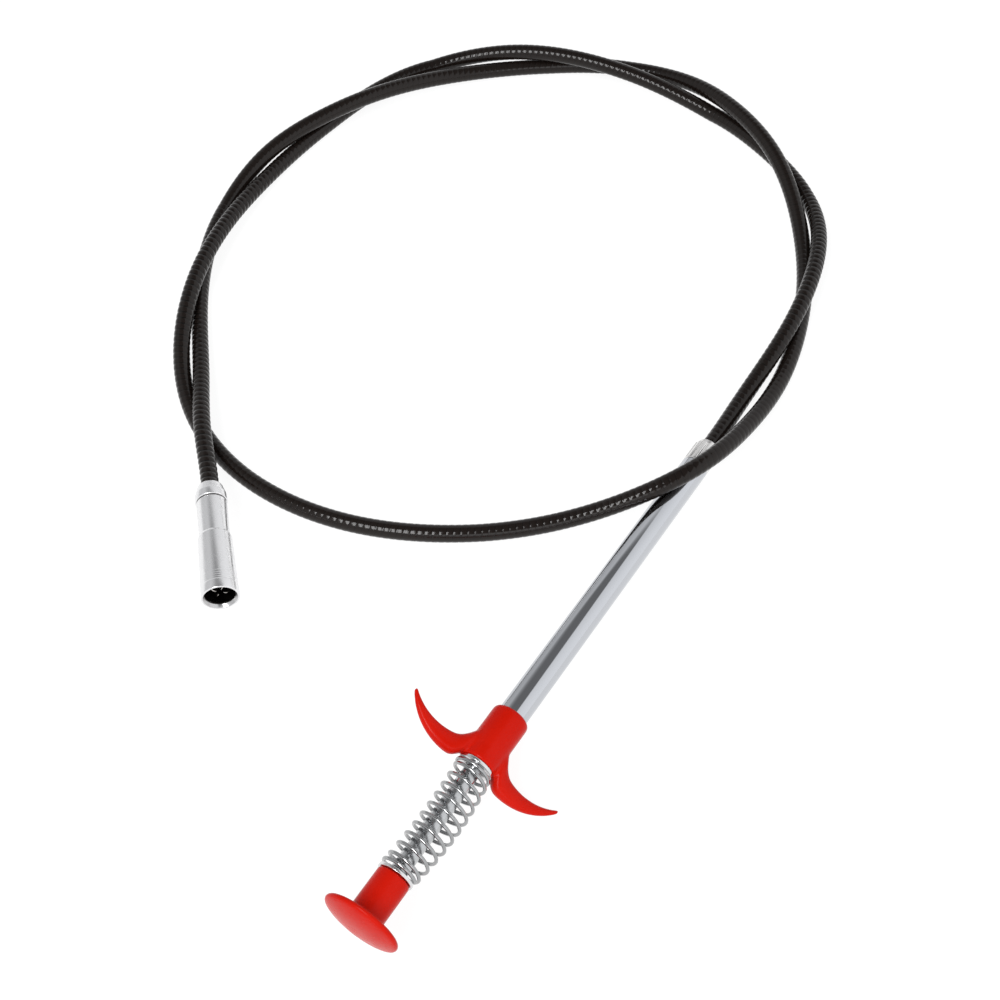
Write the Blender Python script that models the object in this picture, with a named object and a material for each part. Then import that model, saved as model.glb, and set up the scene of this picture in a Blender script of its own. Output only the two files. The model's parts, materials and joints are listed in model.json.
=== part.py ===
"""Claw-grabber drain auger: a thumb button and sprung rod in a finger grip, a steel handle tube, a
flexible hose laid in two loose turns, and a turned tip socket that four hooked claws slide out of.

Metres, +Z up. The handle lies along Y, with its button towards -Y. It rests on the floor z = 0.
"""

import math

import bmesh
import bpy
import numpy as np
from mathutils import Matrix, Vector

MM = 0.001
GAP = 0.3 * MM  # between neighbouring pieces that touch on the real tool

# Stations along the handle's axis, measured from the crown of the button.
CAP_DOME = 2.0 * MM
CAP_BACK = 3.6 * MM
NECK_START = 4.4 * MM
NECK_END = 19.3 * MM
BUTTON_BORE_START = 10.0 * MM
WASHER_THICK = 0.8 * MM
GRIP_START = 63.3 * MM
GRIP_END = 83.9 * MM
GRIP_WEB = 3.0 * MM
GUIDE_LENGTH = 8.0 * MM
ROD_END = 84.0 * MM
TUBE_END = 204.0 * MM
FERRULE_END = 214.9 * MM
SPIGOT_LENGTH = 12.0 * MM
CABLE_END = 182.0 * MM

# Radii.
CAP_R = 13.2 * MM
CAP_STEP_R = 8.0 * MM
NECK_R = 5.7 * MM
ROD_R = 2.9 * MM
ROD_GROOVE_R = 2.3 * MM
WASHER_R = 6.2 * MM
SPRING_MEAN_R = 6.0 * MM
SPRING_WIRE_R = 0.6 * MM
BARREL_R = 6.5 * MM
TUBE_R = 5.0 * MM
TUBE_WALL = 0.9 * MM
CABLE_R = 0.75 * MM
CABLE_BORE_R = 1.2 * MM
HOSE_R = 3.2 * MM
FERRULE_MOUTH_R = 4.3 * MM
FERRULE_COLLAR = 3.0 * MM  # its straight stretch, before it tapers to the hose

# The return spring's coils.
SPRING_OPEN_TURNS = 9.5
SPRING_CLOSED_TURNS = 1.0
SPRING_CLOSED_PITCH = 1.5 * MM
SPRING_STEPS_PER_TURN = 14

# The finger horns: each lies between two arcs, centred (out from the axis, along the axis).
HORN_TIP = 30.2 * MM
HORN_ROOT = 2.5 * MM
HORN_OUTER_ARC = (12.5 * MM, 81.8 * MM, 22.0 * MM)
HORN_INNER_ARC = (17.5 * MM, 85.8 * MM, 20.0 * MM)
HORN_FILLET_REACH = 12.0 * MM  # the fillet to the barrel, on the tube's side
HORN_FILLET_GAIN = 110.0
HORN_RELIEF_REACH = 10.0 * MM  # the relief that clears the spring, on the button's side
HORN_RELIEF_GAIN = 200.0
HORN_ROOT_HALF_THICK = 3.6 * MM
HORN_TIP_HALF_THICK = 0.9 * MM
HORN_SQUARENESS = 2.6
HORN_ROLL = math.radians(26.0)

# The tip socket, measured along its own axis from the hose end to the mouth.
SOCKET_LENGTH = 48.5 * MM
SOCKET_MOUTH_R = 6.45 * MM
SOCKET_BORE_R = 5.4 * MM
SOCKET_NECK_BORE_R = 4.5 * MM
HOSE_SEAT = 5.3 * MM
SOCKET_AXIS = Vector((0.699, -0.711, 0.11)).normalized()

# The claws and the hub that carries them, on the socket's axis.
HUB_START = 14.0 * MM
HUB_END = 22.0 * MM
HUB_R = 3.1 * MM
CLAW_COUNT = 4
CLAW_WIRE_R = 0.45 * MM
CLAW_ROOT_R = 1.5 * MM

# The hose's centreline, from inside the ferrule to the end that the tip socket grips, in millimetres.
# It lies in two loose turns, and where the turns cross, one rides over the other on a long low hump.
HOSE_ROUTE_MM = [
    (-0.5, 134.5, 3.5), (0, 164, 8.5), (-2.5, 187.5, 10.5), (-9, 210.5, 9), (-26, 236.5, 3.5),
    (-52, 251.5, 3.3), (-85, 259.5, 3.5), (-109.5, 257.5, 8), (-133, 253.5, 10.5), (-158.5, 246.5, 10.5),
    (-178.5, 237.5, 8), (-200, 220, 3.3), (-218, 167, 3.3), (-219.5, 123.5, 5), (-212, 85.5, 10.5),
    (-204, 62.5, 11), (-192, 40, 7), (-172, 20, 3.3), (-135, 6.5, 3.3), (-92, 11, 3.3),
    (-50, 33, 3.3), (-19.5, 60, 7.5), (3, 89.5, 16), (8, 119.5, 9), (7, 151.5, 3.3),
    (-1.5, 184, 3.3), (-19, 217, 4), (-45, 243.5, 10.5), (-76, 260.5, 10.5), (-98, 267.5, 6.5),
    (-126.5, 264.5, 3.3), (-157, 247.5, 3.3), (-187, 220, 5), (-206.5, 186.5, 10.5), (-217, 163, 11),
    (-225.5, 138, 8), (-224.5, 106.5, 3.3), (-206, 67.5, 3.3), (-177, 33, 6), (-155.5, 9.5, 11.5),
]
HOSE_END = Vector((-134.0, -11.5, 13.6)) * MM
HOSE_LEAD = 11.0 * MM  # straight stretch at each end
HOSE_REST_Z = 3.3 * MM  # the centreline's height where the hose lies on the floor
HOSE_STATIONS = 78

# The handle rests on its lower horn's tip and on the ferrule's collar, so its axis falls towards the hose
# and the button stands a little clear of the floor.
HORN_TIP_STATION = 69.5 * MM
FLOOR_GAP = 0.02 * MM
HORN_DROP = HORN_TIP * math.sin(HORN_ROLL) + HORN_TIP_HALF_THICK * math.cos(HORN_ROLL)
TILT = math.atan2(HORN_DROP - TUBE_R, TUBE_END + FERRULE_COLLAR - HORN_TIP_STATION)
BUTTON_Y = -107.3 * MM
BUTTON_Z = FLOOR_GAP + HORN_DROP * math.cos(TILT) + HORN_TIP_STATION * math.sin(TILT)

RED = (0.62, 0.012, 0.012, 1)
STEEL = (0.62, 0.63, 0.65, 1)
BRASS = (0.72, 0.55, 0.28, 1)
BLACK = (0.018, 0.016, 0.015, 1)
WHITE_NYLON = (0.75, 0.74, 0.70, 1)


def clear_scene():
    for obj in list(bpy.data.objects):
        bpy.data.objects.remove(obj, do_unlink=True)


def material(name, colour, roughness, metallic):
    made = bpy.data.materials.new(name)
    made.use_nodes = True
    shader = made.node_tree.nodes["Principled BSDF"]
    shader.inputs["Base Color"].default_value = colour
    shader.inputs["Roughness"].default_value = roughness
    shader.inputs["Metallic"].default_value = metallic
    return made


def empty(name, matrix):
    """A frame that pieces are parented to."""
    made = bpy.data.objects.new(name, None)
    made.matrix_world = matrix
    bpy.context.scene.collection.objects.link(made)
    return made


def add_object(name, data, parent, look):
    made = bpy.data.objects.new(name, data)
    bpy.context.scene.collection.objects.link(made)
    made.parent = parent
    data.materials.append(material(name, *look))
    return made


def finish_mesh(name, mesh, parent, look):
    """Turns a bmesh into a smooth-shaded object with outward faces."""
    bmesh.ops.recalc_face_normals(mesh, faces=mesh.faces)
    data = bpy.data.meshes.new(name)
    mesh.to_mesh(data)
    mesh.free()
    data.shade_smooth()
    data.set_sharp_from_angle(angle=math.radians(35))
    return add_object(name, data, parent, look)


def turned(name, outline, parent, look, segments=32):
    """Spins an outline of (radius, station) points about the frame's Y axis.

    An outline that starts and ends on the axis makes a solid bar, and any other is closed into a ring.
    """
    mesh = bmesh.new()
    points = [mesh.verts.new((radius, station, 0)) for radius, station in outline]
    ring = outline[0][0] > 0
    pairs = list(zip(points, points[1:] + points[:1] if ring else points[1:]))
    edges = [mesh.edges.new(pair) for pair in pairs]
    bmesh.ops.spin(mesh, geom=points + edges, cent=(0, 0, 0), axis=(0, 1, 0), angle=math.tau,
                   steps=segments, use_merge=True)
    bmesh.ops.remove_doubles(mesh, verts=mesh.verts, dist=1e-7)
    return finish_mesh(name, mesh, parent, look)


def lofted(mesh, rings):
    """Joins equal rings of points into one closed skin."""
    loops = [[mesh.verts.new(point) for point in ring] for ring in rings]
    for near, far in zip(loops, loops[1:]):
        for i in range(len(near)):
            j = (i + 1) % len(near)
            mesh.faces.new((near[i], near[j], far[j], far[i]))
    mesh.faces.new(loops[0])
    mesh.faces.new(loops[-1])


def wire(name, points, radius, parent, look, sides_resolution=2):
    """A round wire of one diameter through the points, with flat ends."""
    curve = bpy.data.curves.new(name, "CURVE")
    curve.dimensions = "3D"
    curve.bevel_depth = radius
    curve.bevel_resolution = sides_resolution
    curve.use_fill_caps = True
    spline = curve.splines.new("POLY")
    spline.points.add(len(points) - 1)
    for target, point in zip(spline.points, points):
        target.co = (*point, 1)
    return add_object(name, curve, parent, look)


def arc_height(arc, out):
    """The near side of an arc (centre out, centre along, radius) at a distance out from the axis."""
    centre_out, centre_along, radius = arc
    return centre_along - math.sqrt(radius**2 - (out - centre_out) ** 2)


def horn_ring(side, out, sections=14):
    """One cross-section of a finger horn: a rounded rectangle between the horn's two arcs."""
    share = (out - HORN_ROOT) / (HORN_TIP - HORN_ROOT)
    low = arc_height(HORN_OUTER_ARC, out)
    if out < HORN_RELIEF_REACH:
        low = min(GRIP_START, low + HORN_RELIEF_GAIN * (HORN_RELIEF_REACH - out) ** 2)
    high = arc_height(HORN_INNER_ARC, out)
    high += HORN_FILLET_GAIN * max(0, HORN_FILLET_REACH - out) ** 2
    thick = HORN_ROOT_HALF_THICK + (HORN_TIP_HALF_THICK - HORN_ROOT_HALF_THICK) * share
    ring = []
    for step in range(sections):
        angle = math.tau * step / sections
        along, up = math.cos(angle), math.sin(angle)
        along = math.copysign(abs(along) ** (2 / HORN_SQUARENESS), along)
        up = math.copysign(abs(up) ** (2 / HORN_SQUARENESS), up)
        ring.append((side * out, (low + high) / 2 + along * (high - low) / 2, up * thick))
    return ring


def horn(side, parent, look):
    """A helper solid for one horn, joined to the grip's barrel afterwards."""
    mesh = bmesh.new()
    steps = 12
    outs = [HORN_ROOT + (HORN_TIP - HORN_ROOT) * math.sin(math.pi / 2 * i / steps) for i in range(steps + 1)]
    lofted(mesh, [horn_ring(side, out) for out in outs])
    made = finish_mesh(f"horn_{'left' if side < 0 else 'right'}", mesh, parent, look)
    made.hide_render = True
    made.display_type = "WIRE"
    made.rotation_euler.y = HORN_ROLL
    return made


def boolean(target, other, operation):
    modifier = target.modifiers.new(f"{operation.lower()}_{other.name}", "BOOLEAN")
    modifier.operation = operation
    modifier.solver = "EXACT"
    modifier.object = other


def make_button(handle):
    turned("thumb_button", [
        (0, 0), (4.5 * MM, 0.15 * MM), (9 * MM, 0.8 * MM), (CAP_R - 0.9 * MM, CAP_DOME - 0.4 * MM),
        (CAP_R, CAP_DOME + 0.4 * MM), (CAP_R - 0.7 * MM, CAP_BACK - 0.3 * MM), (CAP_STEP_R, CAP_BACK),
        (NECK_R + 0.4 * MM, NECK_START), (NECK_R, NECK_START + 0.8 * MM), (NECK_R, NECK_END - 0.4 * MM),
        (NECK_R - 0.4 * MM, NECK_END), (ROD_R + GAP, NECK_END), (ROD_R + GAP, BUTTON_BORE_START),
        (0, BUTTON_BORE_START),
    ], handle, (RED, 0.25, 0), 40)


def washer(name, start, handle):
    """A thin steel seat that one end of the return spring pushes on."""
    inner, end = ROD_R + GAP, start + WASHER_THICK
    return turned(name, [(inner, start), (WASHER_R, start), (WASHER_R, end), (inner, end)],
                  handle, (STEEL, 0.3, 1))


def make_rod(handle):
    stop = GRIP_START + GRIP_WEB + 0.7 * MM + GUIDE_LENGTH + GAP
    turned("plunger_rod", [
        (0, BUTTON_BORE_START + GAP), (ROD_R, BUTTON_BORE_START + GAP), (ROD_R, stop),
        (ROD_GROOVE_R, stop), (ROD_GROOVE_R, stop + 1.6 * MM), (ROD_R, stop + 1.6 * MM),
        (ROD_R, ROD_END - 0.5 * MM), (ROD_R - 0.5 * MM, ROD_END), (0, ROD_END),
    ], handle, (STEEL, 0.35, 1), 24)
    near, far = stop + GAP, stop + 1.3 * MM
    inner, outer = ROD_GROOVE_R + GAP, TUBE_R - TUBE_WALL - GAP
    turned("stop_ring", [(inner, near), (outer, near), (outer, far), (inner, far)],
           handle, (STEEL, 0.35, 1), 24)


def spring_points():
    """The wire's centreline: closed turns at both ends and evenly open turns between them."""
    start = NECK_END + GAP + WASHER_THICK + GAP + SPRING_WIRE_R
    end = GRIP_START - GAP - WASHER_THICK - GAP - SPRING_WIRE_R
    closed = SPRING_CLOSED_TURNS * SPRING_CLOSED_PITCH
    turns = SPRING_OPEN_TURNS + 2 * SPRING_CLOSED_TURNS
    steps = round(turns * SPRING_STEPS_PER_TURN)
    points = []
    for step in range(steps + 1):
        turn = turns * step / steps
        share = min(max((turn - SPRING_CLOSED_TURNS) / SPRING_OPEN_TURNS, 0), 1)
        ends = min(turn, SPRING_CLOSED_TURNS) + max(turn - SPRING_CLOSED_TURNS - SPRING_OPEN_TURNS, 0)
        station = start + SPRING_CLOSED_PITCH * ends + share * (end - start - 2 * closed)
        angle = math.tau * turn
        points.append((SPRING_MEAN_R * math.cos(angle), station, SPRING_MEAN_R * math.sin(angle)))
    return points


def make_grip(handle):
    bore, hole = TUBE_R + GAP, ROD_R + 0.5 * MM
    web_end = GRIP_START + GRIP_WEB
    look = (RED, 0.25, 0)
    grip = turned("finger_grip", [
        (0, GRIP_START), (BARREL_R - 0.6 * MM, GRIP_START), (BARREL_R, GRIP_START + 0.6 * MM),
        (BARREL_R, GRIP_END - 0.6 * MM), (BARREL_R - 0.5 * MM, GRIP_END), (0, GRIP_END),
    ], handle, look, 40)
    cutter = turned("grip_bore", [
        (0, GRIP_END + 1 * MM), (bore, GRIP_END + 1 * MM), (bore, web_end), (hole, web_end),
        (hole, GRIP_START - 4 * MM), (0, GRIP_START - 4 * MM),
    ], handle, look)
    cutter.hide_render = True
    cutter.display_type = "WIRE"
    for side in (-1, 1):
        boolean(grip, horn(side, handle, look), "UNION")
    boolean(grip, cutter, "DIFFERENCE")


def make_tube(handle):
    inner = TUBE_R - TUBE_WALL
    start = GRIP_START + GRIP_WEB + GAP
    turned("handle_tube", [(inner, start), (TUBE_R, start), (TUBE_R, TUBE_END), (inner, TUBE_END)],
           handle, (STEEL, 0.15, 1), 40)
    guide_start = start + 0.4 * MM
    guide_end = guide_start + GUIDE_LENGTH
    bore, outer = ROD_R + GAP, inner - GAP
    turned("rod_guide", [(bore, guide_start), (outer, guide_start), (outer, guide_end), (bore, guide_end)],
           handle, (WHITE_NYLON, 0.5, 0))


def make_ferrule(handle):
    spigot_r = TUBE_R - TUBE_WALL - GAP
    seat = FERRULE_END - HOSE_SEAT
    turned("crimp_ferrule", [
        (CABLE_BORE_R, TUBE_END - SPIGOT_LENGTH), (spigot_r, TUBE_END - SPIGOT_LENGTH),
        (spigot_r, TUBE_END + GAP), (TUBE_R, TUBE_END + GAP), (TUBE_R, TUBE_END + FERRULE_COLLAR),
        (FERRULE_MOUTH_R, FERRULE_END), (HOSE_R + GAP, FERRULE_END), (HOSE_R + GAP, seat),
        (CABLE_BORE_R, seat),
    ], handle, (STEEL, 0.3, 1))


def make_cable(handle):
    """The control cable in the handle tube, and the sleeve that crimps it to the plunger rod."""
    start = ROD_END + GAP
    inner, outer, end = CABLE_R + GAP, 2.4 * MM, start + 9 * MM
    turned("cable_crimp", [(inner, start), (outer, start), (outer, end), (inner, end)],
           handle, (BRASS, 0.35, 1), 20)
    turned("control_cable", [(0, start), (CABLE_R, start), (CABLE_R, CABLE_END), (0, CABLE_END)],
           handle, (STEEL, 0.4, 1), 10)


def natural_spline(points, stations):
    """Evenly spaced points of the natural cubic spline through the given ones, by chord length."""
    knots = np.concatenate([[0], np.cumsum(np.linalg.norm(np.diff(points, axis=0), axis=1))])
    width = np.diff(knots)
    count = len(points)
    system, right = np.eye(count), np.zeros((count, 3))
    for i in range(1, count - 1):
        system[i, i - 1 : i + 2] = width[i - 1], 2 * (width[i - 1] + width[i]), width[i]
        right[i] = 6 * ((points[i + 1] - points[i]) / width[i] - (points[i] - points[i - 1]) / width[i - 1])
    bend = np.linalg.solve(system, right)
    made = []
    for at in np.linspace(0, knots[-1], stations):
        i = min(np.searchsorted(knots, at, side="right") - 1, count - 2)
        a, b, w = knots[i + 1] - at, at - knots[i], width[i]
        made.append(bend[i] * a**3 / (6 * w) + bend[i + 1] * b**3 / (6 * w)
                    + (points[i] / w - bend[i] * w / 6) * a + (points[i + 1] / w - bend[i + 1] * w / 6) * b)
    return np.array(made)


def hose_points(handle_matrix):
    """The hose's centreline, which never sinks below the height where it lies on the floor."""
    start = handle_matrix @ Vector((0, FERRULE_END - HOSE_SEAT + GAP, 0))
    along = (handle_matrix.to_3x3() @ Vector((0, 1, 0))).normalized()
    route = [start, start + along * HOSE_LEAD]
    route += [Vector(point) * MM for point in HOSE_ROUTE_MM]
    route += [HOSE_END - SOCKET_AXIS * HOSE_LEAD, HOSE_END]
    line = natural_spline(np.array(route), HOSE_STATIONS)
    line[:, 2] = np.maximum(line[:, 2], HOSE_REST_Z)
    return line


def make_socket(socket):
    """The socket that holds the hose end and shelters the claws; its frame's Y runs to the mouth."""
    step_start, step_end = 22.5 * MM, 23.5 * MM
    turned("tip_socket", [
        (HOSE_R + GAP, 0), (4.1 * MM, 0), (5.2 * MM, 2.2 * MM), (5.6 * MM, 4.0 * MM), (5.6 * MM, 6.4 * MM),
        (5.25 * MM, 6.9 * MM), (5.25 * MM, step_start), (5.85 * MM, step_end),
        (6.25 * MM, SOCKET_LENGTH - 5 * MM), (SOCKET_MOUTH_R, SOCKET_LENGTH - 3.5 * MM),
        (SOCKET_MOUTH_R, SOCKET_LENGTH), (SOCKET_BORE_R, SOCKET_LENGTH), (SOCKET_BORE_R, step_end + 1 * MM),
        (SOCKET_NECK_BORE_R, step_end), (SOCKET_NECK_BORE_R, 9.5 * MM), (CABLE_BORE_R, 9.5 * MM),
        (CABLE_BORE_R, HOSE_SEAT), (HOSE_R + GAP, HOSE_SEAT),
    ], socket, ((0.8, 0.8, 0.81, 1), 0.25, 1), 40)


def make_claws(socket):
    """The hub on the end of the control cable, its cable, and the hooked claws it carries."""
    turned("claw_hub", [
        (0, HUB_START), (HUB_R - 0.5 * MM, HUB_START), (HUB_R, HUB_START + 0.5 * MM),
        (HUB_R, HUB_END - 0.5 * MM), (HUB_R - 0.5 * MM, HUB_END), (0, HUB_END),
    ], socket, (BRASS, 0.35, 1), 24)
    near, far = HOSE_SEAT + GAP, HUB_START - GAP
    turned("tip_cable", [(0, near), (CABLE_R, near), (CABLE_R, far), (0, far)],
           socket, (STEEL, 0.4, 1), 10)
    hook = [(HUB_END + GAP, CLAW_ROOT_R), (29 * MM, 1.6 * MM), (35 * MM, 2.0 * MM), (40 * MM, 2.7 * MM),
            (43.2 * MM, 3.2 * MM), (45.0 * MM, 3.1 * MM), (45.9 * MM, 2.3 * MM), (46.0 * MM, 1.3 * MM)]
    for number in range(CLAW_COUNT):
        turn = Matrix.Rotation(math.tau * (number + 0.5) / CLAW_COUNT, 3, "Y")
        points = [turn @ Vector((out, along, 0)) for along, out in hook]
        wire(f"claw_{number + 1}", points, CLAW_WIRE_R, socket, (STEEL, 0.3, 1))


def main():
    clear_scene()
    handle_matrix = Matrix.Translation((0, BUTTON_Y, BUTTON_Z)) @ Matrix.Rotation(-TILT, 4, "X")
    handle = empty("handle_axis", handle_matrix)
    make_button(handle)
    washer("button_washer", NECK_END + GAP, handle)
    make_rod(handle)
    wire("return_spring", spring_points(), SPRING_WIRE_R, handle, (STEEL, 0.2, 1))
    washer("grip_washer", GRIP_START - GAP - WASHER_THICK, handle)
    make_grip(handle)
    make_tube(handle)
    make_ferrule(handle)
    make_cable(handle)
    wire("hose", hose_points(handle_matrix), HOSE_R, None, (BLACK, 0.3, 0), 4)
    turn = Vector((0, 1, 0)).rotation_difference(SOCKET_AXIS).to_matrix().to_4x4()
    socket_start = HOSE_END - SOCKET_AXIS * (HOSE_SEAT - GAP)
    socket = empty("socket_axis", Matrix.Translation(socket_start) @ turn)
    make_socket(socket)
    make_claws(socket)


main()
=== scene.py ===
"""The looks of the claw-grabber drain auger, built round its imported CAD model. Metres, +Z up."""

import json
import math

import bmesh
import bpy
import numpy as np
from mathutils import Matrix, Vector


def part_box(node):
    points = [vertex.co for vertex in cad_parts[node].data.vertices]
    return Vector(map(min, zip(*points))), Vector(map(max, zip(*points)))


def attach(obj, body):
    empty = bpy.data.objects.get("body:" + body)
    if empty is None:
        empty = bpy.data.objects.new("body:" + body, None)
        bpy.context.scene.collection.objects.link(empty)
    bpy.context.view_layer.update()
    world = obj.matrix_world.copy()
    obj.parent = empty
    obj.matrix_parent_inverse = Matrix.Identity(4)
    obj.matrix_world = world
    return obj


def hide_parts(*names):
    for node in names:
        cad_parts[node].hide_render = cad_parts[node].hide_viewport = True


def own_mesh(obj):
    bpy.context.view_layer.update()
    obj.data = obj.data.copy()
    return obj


MM = 0.001

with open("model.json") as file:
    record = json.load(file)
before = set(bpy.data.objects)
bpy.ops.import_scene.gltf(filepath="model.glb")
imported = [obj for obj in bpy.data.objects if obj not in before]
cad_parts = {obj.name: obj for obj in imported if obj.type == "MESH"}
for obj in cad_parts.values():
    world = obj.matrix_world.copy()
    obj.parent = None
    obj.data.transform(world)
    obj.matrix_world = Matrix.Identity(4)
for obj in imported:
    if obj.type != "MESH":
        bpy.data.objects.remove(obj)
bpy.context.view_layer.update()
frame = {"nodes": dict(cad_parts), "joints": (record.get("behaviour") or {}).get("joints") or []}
joints = {joint["name"]: joint for joint in frame["joints"]}


def middle(node):
    low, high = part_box(node)
    return (low + high) / 2


def axis_frame(joint, node, station):
    """A frame whose Y runs along a joint's axis; the node's middle lies on that axis at the station."""
    axis = Vector(joints[joint]["axis"]).normalized()
    turn = Vector((0, 1, 0)).rotation_difference(axis).to_matrix().to_4x4()
    return Matrix.Translation(middle(node) - axis * station) @ turn


# Stations along the handle's axis, from the crown of the button.
CAP_DOME = 2.0 * MM
CAP_BACK = 3.6 * MM
NECK_START = 4.4 * MM
NECK_END = 19.3 * MM
BUTTON_BORE_START = 10.0 * MM
GRIP_START = 63.3 * MM
GRIP_END = 83.9 * MM
GRIP_WEB = 3.0 * MM
TUBE_START = 66.6 * MM
TUBE_END = 204.0 * MM
FERRULE_END = 214.9 * MM
COLLAR_END = 213.3 * MM
# The washers' faces: drawn a little thicker than their solids.
WASHER_SPANS = {"button_washer": (19.35 * MM, 20.4 * MM), "grip_washer": (62.2 * MM, 63.25 * MM)}
# The middle of the spring's wire at its first and last turn.
SPRING_START = 21.3 * MM
SPRING_END = 61.3 * MM
STOP_GROOVE = (75.2 * MM, 76.7 * MM)
ROD_END = 84.0 * MM
FERRULE_SPIGOT = 12.0 * MM

# Radii.
CAP_R = 13.2 * MM
CAP_CROWN_R = 11.9 * MM
CAP_STEP_R = 8.0 * MM
NECK_R = 5.7 * MM
ROD_R = 2.9 * MM
STOP_GROOVE_R = 2.3 * MM
WASHER_R = 6.2 * MM
SPRING_MEAN_R = 6.0 * MM
SPRING_WIRE_R = 0.6 * MM
SPRING_SWELL = 0.45 * MM
BARREL_R = 6.5 * MM
TUBE_R = 5.0 * MM
TUBE_WALL = 0.9 * MM
HOSE_R = 3.2 * MM
FERRULE_MOUTH_R = 4.3 * MM
CRIMP_DEPTH = 0.42 * MM
GAP = 0.3 * MM
EDGE_R = 0.15 * MM
ROUNDING_STEPS = 3
FLOOR_CLEARANCE = 0.05 * MM

# The return spring, and the ferrule's crimp lines.
SPRING_OPEN_TURNS = 9.5
SPRING_CLOSED_TURNS = 1.0
SPRING_CLOSED_PITCH = 1.5 * MM
SPRING_STEPS = 40
SPRING_BOW = 1.5 * MM
CRIMP_LINES = 12

# The finger horns, between two arcs (centre out from the axis, centre along the axis, radius).
HORN_TIP = 30.2 * MM
HORN_ROOT = 2.5 * MM
HORN_OUTER_ARC = (12.5 * MM, 81.8 * MM, 22.0 * MM)
HORN_INNER_ARC = (17.5 * MM, 85.8 * MM, 20.0 * MM)
HORN_FILLET_REACH = 12.0 * MM
HORN_FILLET_GAIN = 110.0
HORN_FLARE_GAIN = 27.0
HORN_RELIEF_REACH = 10.0 * MM
HORN_RELIEF_GAIN = 200.0
HORN_ROOT_HALF_THICK = 3.6 * MM
HORN_TIP_HALF_THICK = 0.9 * MM
HORN_SQUARENESS = 2.4
HORN_ROLL = math.radians(26.0)
HORN_STEPS = 36
HORN_SIDES = 32
GRIP_VOXEL = 0.28 * MM
GRIP_SMOOTHING = 20

# The tip socket and the claws, along the socket's axis from the hose end.
SOCKET_LENGTH = 48.5 * MM
SOCKET_MOUTH_R = 6.45 * MM
SOCKET_BORE_R = 4.9 * MM
SOCKET_NECK_BORE_R = 4.5 * MM
SOCKET_COLLAR_R = 5.65 * MM
SOCKET_NECK_R = (5.35 * MM, 5.25 * MM)
SOCKET_WIDE_R = (5.85 * MM, 6.22 * MM)
SOCKET_STEP = (22.5 * MM, 23.5 * MM)
SOCKET_LIP_R = (5.8 * MM, 5.1 * MM)
SOCKET_LIP_DEPTH = (0.9 * MM, 1.5 * MM)
SOCKET_LIP_PAINTED_SHADE = 0.45
HUB_POCKET_START = 9.5 * MM
SOCKET_CREASE = (7.25 * MM, 7.5 * MM)
SOCKET_CREASE_R = 4.9 * MM
CABLE_BORE_R = 1.2 * MM
HOSE_SEAT = 5.3 * MM
HUB_START = 14.0 * MM
HUB_END = 22.0 * MM
HUB_R = 3.1 * MM
CLAW_COUNT = 4
CLAW_WIRE_R = 0.45 * MM
CLAW_ROOT_R = 1.5 * MM
CLAW_STEPS = 44

# The hose's centreline between its two straight leads.
HOSE_ROUTE = [
    (-0.0005, 0.1345, 0.0035), (0, 0.164, 0.0085), (-0.0025, 0.1875, 0.0105), (-0.009, 0.2105, 0.009),
    (-0.026, 0.2365, 0.0035), (-0.052, 0.2515, 0.0033), (-0.085, 0.2595, 0.0035), (-0.1095, 0.2575, 0.008),
    (-0.133, 0.2535, 0.0105), (-0.1585, 0.2465, 0.0105), (-0.1785, 0.2375, 0.008), (-0.2, 0.22, 0.0033),
    (-0.218, 0.167, 0.0033), (-0.2195, 0.1235, 0.005), (-0.212, 0.0855, 0.0105), (-0.204, 0.0625, 0.011),
    (-0.192, 0.04, 0.007), (-0.172, 0.02, 0.0033), (-0.135, 0.0065, 0.0033), (-0.092, 0.011, 0.0033),
    (-0.05, 0.033, 0.0033), (-0.0195, 0.06, 0.0075), (0.003, 0.0895, 0.016), (0.008, 0.1195, 0.009),
    (0.007, 0.1515, 0.0033), (-0.0015, 0.184, 0.0033), (-0.019, 0.217, 0.004), (-0.045, 0.2435, 0.0105),
    (-0.076, 0.2605, 0.0105), (-0.098, 0.2675, 0.0065), (-0.1265, 0.2645, 0.0033), (-0.157, 0.2475, 0.0033),
    (-0.187, 0.22, 0.005), (-0.2065, 0.1865, 0.0105), (-0.217, 0.163, 0.011), (-0.2255, 0.138, 0.008),
    (-0.2245, 0.1065, 0.0033), (-0.206, 0.0675, 0.0033), (-0.177, 0.033, 0.006), (-0.1555, 0.0095, 0.0115),
]
HOSE_END = Vector((-0.134, -0.0115, 0.0136))
HOSE_LEAD = 11.0 * MM
HOSE_REST_Z = 3.3 * MM
RIB_PITCH = 2.45 * MM
RIB_STEPS = 10
GROOVE_SHARE = 0.15
GROOVE_DEPTH = (0.035 * MM, 0.12 * MM)
RIB_CROWN = (0.04 * MM, 0.17 * MM)
# Stretches where the ribs stand out more, with deeper grooves and stronger painted shade in them: distance
# from the ferrule and half-length, in metres.
RIB_STRONG = ((0.115, 0.05), (0.47, 0.06), (1.37, 0.09))
HOSE_SIDES = 20

CAMERA_SPOT = (113.07 * MM, -187.4 * MM, 455.6 * MM)
CAMERA_AZIMUTH = math.radians(35.04)
CAMERA_ELEVATION = math.radians(57.56)
CAMERA_ROLL = math.radians(-2.015)
CAMERA_LENS = 54
CAMERA_SENSOR = 36

FLOOR_HALF_SIDE = 6
FLOOR_GREY = 0.16
FLOOR_GLOW = 0.9
SURROUND_COLOUR = (0.985, 0.99, 1.0)

# The surround's brightness and the dim opening in its ceiling that bright metal mirrors.
CEILING_BRIGHT = 0.93
CEILING_DARK = 0.21
SIDE_GAIN = 0.32
OPENING = (("x", -1.5, -0.3, False), ("x", 0.38, 0.50, True), ("y", -1.1, -0.7, False), ("y", 0.8, 1.1, True))
OPENING_SHEAR = 0.8
OPENING_SHIFT = -0.24

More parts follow.
